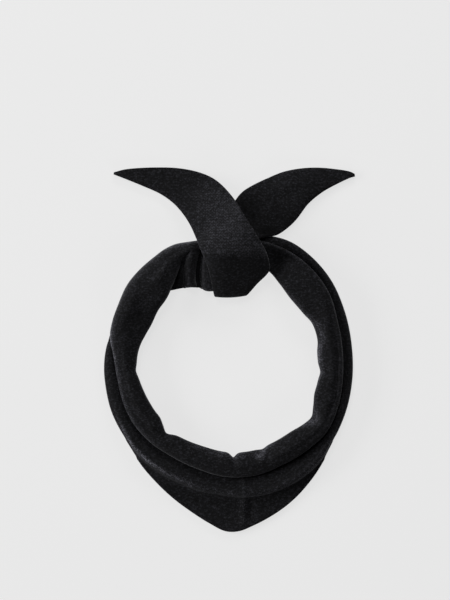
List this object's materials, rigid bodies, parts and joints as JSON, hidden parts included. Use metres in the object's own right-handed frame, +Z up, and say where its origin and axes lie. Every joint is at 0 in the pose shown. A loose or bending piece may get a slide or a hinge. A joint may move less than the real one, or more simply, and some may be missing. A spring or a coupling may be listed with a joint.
{
  "type": "knotted neckerchief",
  "caption": "Small triangular knit scarf, rolled along its long edge, tied in a half knot and laid flat as a ring with its point to the front.",
  "frame": {"origin": "middle of the footprint, on the surface that the scarf lies on", "axes": "+Y from the point at the front to the knot at the back, +Z up from the surface, +X to the side of the tail that lies under the wrap"},
  "size_m": [0.2515, 0.3649, 0.0266],
  "materials": {
    "charcoal_cashmere_knit": "matt, softly brushed fine knit"
  },
  "bodies": {
    "root": {"neck_roll": "charcoal_cashmere_knit", "front_drape": "charcoal_cashmere_knit", "left_tail_and_wrap": "charcoal_cashmere_knit", "right_tail": "charcoal_cashmere_knit", "knot_pleats": "charcoal_cashmere_knit"}
  },
  "joints": []
}
